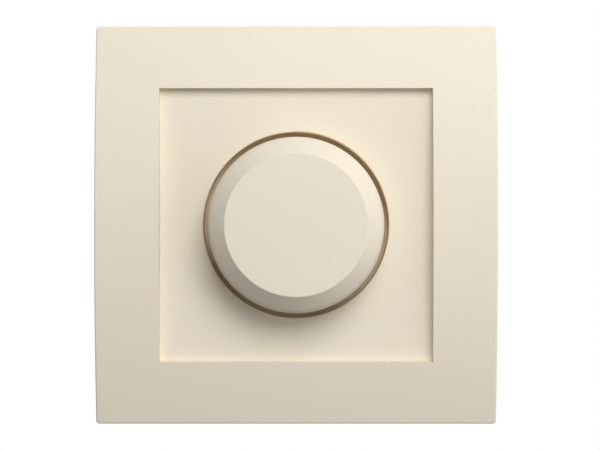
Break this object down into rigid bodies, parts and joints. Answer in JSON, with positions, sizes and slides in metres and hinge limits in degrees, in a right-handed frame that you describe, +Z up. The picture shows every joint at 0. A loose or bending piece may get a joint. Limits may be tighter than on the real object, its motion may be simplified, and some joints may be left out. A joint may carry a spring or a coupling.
{
  "type": "rotary dimmer switch",
  "caption": "Flush wall dimmer: a bowed square cover frame, a recessed centre plate and a round knob that turns and pushes, on a claw-fixed insert with screw terminals.",
  "frame": {"origin": "on the knob axis, in the wall's face, at the middle of the two 60 mm box screw patterns", "axes": "+Z up, +X to the right seen from the room, +Y into the wall; the knob points along -Y"},
  "size_m": [0.082, 0.041, 0.0816],
  "materials": {
    "cream_plastic": "satin moulded plastic with a fine even sheen",
    "zinc_steel": "zinc plated pressed steel, fine rolling grain",
    "nickel_brass": "nickel plated brass, turned",
    "brass": "plain brass, stamped",
    "grey_thermoset": "dark grey moulded thermoset, matt",
    "black_phenolic": "black moulded phenolic",
    "brown_laminate": "brown paper laminate, matt",
    "carbon": "printed carbon film",
    "circuit_board": "circuit board laminate",
    "ferrite": "sintered ferrite, matt",
    "enamelled_copper": "enamelled copper wire",
    "tinned_copper": "tinned copper",
    "aluminium": "extruded aluminium sheet",
    "yellow_box": "yellow capacitor box",
    "red_box": "dark red capacitor box",
    "resistor_body": "lacquered resistor body",
    "clear_glass": "clear glass tube",
    "orange_glass": "tinted glass diode body",
    "white_nylon": "white nylon",
    "blue_plastic": "blue moulded plastic",
    "spring_steel": "hard drawn spring steel"
  },
  "bodies": {
    "insert": {"cover_frame": "cream_plastic", "centre_plate": "cream_plastic", "plate_nut": "nickel_brass", "support_frame": "zinc_steel", "housing_front": "grey_thermoset", "housing_rear": "grey_thermoset", "housing_screws": "zinc_steel", "housing_rivets": "brass", "potentiometer_bushing": "nickel_brass", "potentiometer_case": "black_phenolic", "resistor_wafer": "brown_laminate", "carbon_track": "carbon", "potentiometer_pins": "tinned_copper", "switch_case": "black_phenolic", "fixed_contacts": "brass", "circuit_board": "circuit_board", "choke_core": "ferrite", "choke_winding": "enamelled_copper", "heat_sink": "aluminium", "triac": "black_phenolic", "triac_leads": "tinned_copper", "triac_screw": "zinc_steel", "suppression_capacitor": "yellow_box", "timing_capacitor": "red_box", "resistors": "resistor_body", "trigger_diode": "orange_glass", "fuse_glass": "clear_glass", "fuse_caps": "nickel_brass", "fuse_wire": "tinned_copper", "fuse_clips": "nickel_brass", "trimmer_case": "blue_plastic", "terminal_block": "grey_thermoset", "wire_entry_plate": "grey_thermoset", "contact_bars": "brass", "claw_pivot_pins": "zinc_steel"},
    "wiper_rotor": {"wiper_carrier": "white_nylon", "wiper": "brass"},
    "knob_and_shaft": {"knob": "cream_plastic", "control_shaft": "white_nylon", "knob_spring_ring": "spring_steel"},
    "push_switch": {"switch_plunger": "white_nylon", "contact_bridge": "brass", "plunger_springs": "spring_steel"},
    "trimmer": {"trimmer_stem": "white_nylon"},
    "claw_left": {"claw_left": "zinc_steel"},
    "claw_right": {"claw_right": "zinc_steel"},
    "claw_screw_left": {"claw_screw_left": "zinc_steel"},
    "claw_screw_right": {"claw_screw_right": "zinc_steel"},
    "terminal_screw_1": {"terminal_screw_1": "zinc_steel"},
    "terminal_cage_1": {"terminal_cage_1": "nickel_brass"},
    "terminal_screw_2": {"terminal_screw_2": "zinc_steel"},
    "terminal_cage_2": {"terminal_cage_2": "nickel_brass"},
    "terminal_screw_3": {"terminal_screw_3": "zinc_steel"},
    "terminal_cage_3": {"terminal_cage_3": "nickel_brass"}
  },
  "joints": [
    {"name": "control_turn", "type": "hinge", "parent": "insert", "child": "wiper_rotor", "pos_m": [0, 0, 0], "axis": [0, 1, 0], "range_deg": [0, 280]},
    {"name": "knob_push", "type": "slide", "parent": "wiper_rotor", "child": "knob_and_shaft", "axis": [0, 1, 0], "range_m": [0, 0.0015], "stiffness_N_per_m": 1500, "springref_m": -0.001},
    {"name": "switch_travel", "type": "slide", "parent": "insert", "child": "push_switch", "axis": [0, 1, 0], "range_m": [0, 0.0015]},
    {"name": "trimmer_turn", "type": "hinge", "parent": "insert", "child": "trimmer", "pos_m": [-0.019, 0, -0.0124], "axis": [0, 1, 0], "range_deg": [0, 240]},
    {"name": "claw_screw_left_turn", "type": "hinge", "parent": "insert", "child": "claw_screw_left", "pos_m": [-0.0234, 0, 0], "axis": [0, 1, 0], "range_deg": [0, 870]},
    {"name": "claw_left_swing", "type": "hinge", "parent": "insert", "child": "claw_left", "pos_m": [-0.0206, 0.01, 0], "axis": [0, 0, 1], "range_deg": [0, 22]},
    {"name": "claw_screw_right_turn", "type": "hinge", "parent": "insert", "child": "claw_screw_right", "pos_m": [0.0234, 0, 0], "axis": [0, 1, 0], "range_deg": [0, 870]},
    {"name": "claw_right_swing", "type": "hinge", "parent": "insert", "child": "claw_right", "pos_m": [0.0206, 0.01, 0], "axis": [0, 0, -1], "range_deg": [0, 22]},
    {"name": "terminal_screw_1_turn", "type": "hinge", "parent": "insert", "child": "terminal_screw_1", "pos_m": [-0.0095, 0.0162, -0.023], "axis": [0, 0, 1], "range_deg": [0, 1440]},
    {"name": "terminal_cage_1_rise", "type": "slide", "parent": "insert", "child": "terminal_cage_1", "axis": [0, 0, -1], "range_m": [0, 0.002]},
    {"name": "terminal_screw_2_turn", "type": "hinge", "parent": "insert", "child": "terminal_screw_2", "pos_m": [0, 0.0162, -0.023], "axis": [0, 0, 1], "range_deg": [0, 1440]},
    {"name": "terminal_cage_2_rise", "type": "slide", "parent": "insert", "child": "terminal_cage_2", "axis": [0, 0, -1], "range_m": [0, 0.002]},
    {"name": "terminal_screw_3_turn", "type": "hinge", "parent": "insert", "child": "terminal_screw_3", "pos_m": [0.0095, 0.0162, -0.023], "axis": [0, 0, 1], "range_deg": [0, 1440]},
    {"name": "terminal_cage_3_rise", "type": "slide", "parent": "insert", "child": "terminal_cage_3", "axis": [0, 0, -1], "range_m": [0, 0.002]}
  ],
  "couplings": [
    {"joint": "switch_travel", "follows": "knob_push", "ratio": 1},
    {"joint": "claw_screw_left_turn", "follows": "claw_left_swing", "ratio": 39.5},
    {"joint": "claw_screw_right_turn", "follows": "claw_right_swing", "ratio": 39.5},
    {"joint": "terminal_screw_1_turn", "follows": "terminal_cage_1_rise", "rad_per_m": 12566},
    {"joint": "terminal_screw_2_turn", "follows": "terminal_cage_2_rise", "rad_per_m": 12566},
    {"joint": "terminal_screw_3_turn", "follows": "terminal_cage_3_rise", "rad_per_m": 12566}
  ]
}
